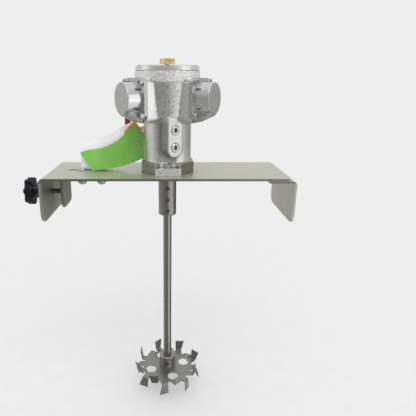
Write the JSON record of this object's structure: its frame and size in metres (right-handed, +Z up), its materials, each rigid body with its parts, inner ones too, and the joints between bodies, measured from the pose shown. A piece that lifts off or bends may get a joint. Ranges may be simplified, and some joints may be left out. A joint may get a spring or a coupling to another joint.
{
  "type": "pneumatic drum mixer",
  "caption": "Air-motor pail mixer: radial piston air motor on a bent stainless bridge with screw clamp jaw, inlet ball valve, coupling, shaft and toothed impeller.",
  "frame": {"origin": "on the drive axis at the underside of the bridge plate", "axes": "+X along the bridge plate from the screw clamp to the fixed hook, +Y to the back, away from the port plugs and setscrews, +Z up along the drive axis"},
  "size_m": [0.361, 0.1238, 0.4814],
  "materials": {
    "stainless_sheet": "brushed",
    "cast_aluminium": "as-cast, tumbled",
    "machined_aluminium": "turned",
    "steel_fastener": "plated",
    "dark_machined_steel": "turned, oiled",
    "shaft_steel": "ground",
    "impeller_steel": "laser cut",
    "hardened_steel": "ground",
    "brass": "turned",
    "black_plastic": "moulded",
    "red_plastic": "moulded",
    "orange_strap": "satin",
    "green_card": "laminated",
    "white_card": "laminated",
    "gasket_paper": "oiled",
    "seal_rubber": "moulded"
  },
  "bodies": {
    "frame": {"bridge_plate": "stainless_sheet", "hook_bracket": "stainless_sheet", "clamp_nut": "steel_fastener", "motor_housing": "cast_aluminium", "motor_bolts": "steel_fastener", "port_plugs": "steel_fastener", "top_cover": "machined_aluminium", "cover_gasket": "gasket_paper", "cover_screws": "steel_fastener", "cap_plug": "brass", "cylinder_head_left": "machined_aluminium", "cylinder_head_right": "machined_aluminium", "cylinder_head_rear": "machined_aluminium", "piston_left": "machined_aluminium", "piston_right": "machined_aluminium", "piston_rear": "machined_aluminium", "head_gaskets": "gasket_paper", "head_bolts": "steel_fastener", "cylinder_liners": "hardened_steel", "piston_rings": "hardened_steel", "upper_bearing": "hardened_steel", "lower_bearing": "hardened_steel", "oil_seal": "seal_rubber", "valve_sleeve": "hardened_steel", "inlet_nipple": "brass", "ball_valve_body": "brass", "green_tag": "green_card", "white_tag": "white_card", "tag_eyelet": "brass", "tag_strap": "orange_strap", "tag_wire": "steel_fastener"},
    "drive": {"crankshaft": "hardened_steel", "rotary_valve": "brass", "coupling": "dark_machined_steel", "coupling_set_screws": "hardened_steel", "mixing_shaft": "shaft_steel", "impeller_hub": "dark_machined_steel", "impeller_disc": "impeller_steel", "hub_set_screw": "hardened_steel"},
    "slipper": {"crank_bearing": "brass", "slipper_ring": "hardened_steel"},
    "jaw": {"clamp_jaw": "stainless_sheet", "jaw_bolts": "steel_fastener", "jaw_washers": "steel_fastener", "jaw_dome_nuts": "steel_fastener", "swivel_cup": "dark_machined_steel"},
    "clamp_screw": {"clamp_screw": "steel_fastener", "star_knob": "black_plastic"},
    "inlet_lever": {"valve_ball": "shaft_steel", "valve_stem": "brass", "valve_lever": "red_plastic", "lever_nut": "steel_fastener"}
  },
  "joints": [
    {"name": "drive_spin", "type": "hinge", "parent": "frame", "child": "drive", "pos_m": [0, 0, 0], "axis": [0, 0, 1], "continuous": true},
    {"name": "ring_orbit", "type": "hinge", "parent": "drive", "child": "slipper", "pos_m": [0, 0.008, 0.0994], "axis": [0, 0, 1], "continuous": true},
    {"name": "clamp_screw_turn", "type": "hinge", "parent": "jaw", "child": "clamp_screw", "pos_m": [-0.15, 0, -0.027], "axis": [-1, 0, 0], "range_deg": [0, 2880]},
    {"name": "jaw_slide", "type": "slide", "parent": "frame", "child": "jaw", "axis": [-1, 0, 0], "range_m": [0, 0.01]},
    {"name": "inlet_lever_turn", "type": "hinge", "parent": "frame", "child": "inlet_lever", "pos_m": [-0.04677, 0.027, 0.05], "axis": [-0.5, -0.866, 0], "range_deg": [0, 90]}
  ],
  "couplings": [
    {"joint": "ring_orbit", "follows": "drive_spin", "ratio": -1},
    {"joint": "clamp_screw_turn", "follows": "jaw_slide", "rad_per_m": 5026.5}
  ]
}
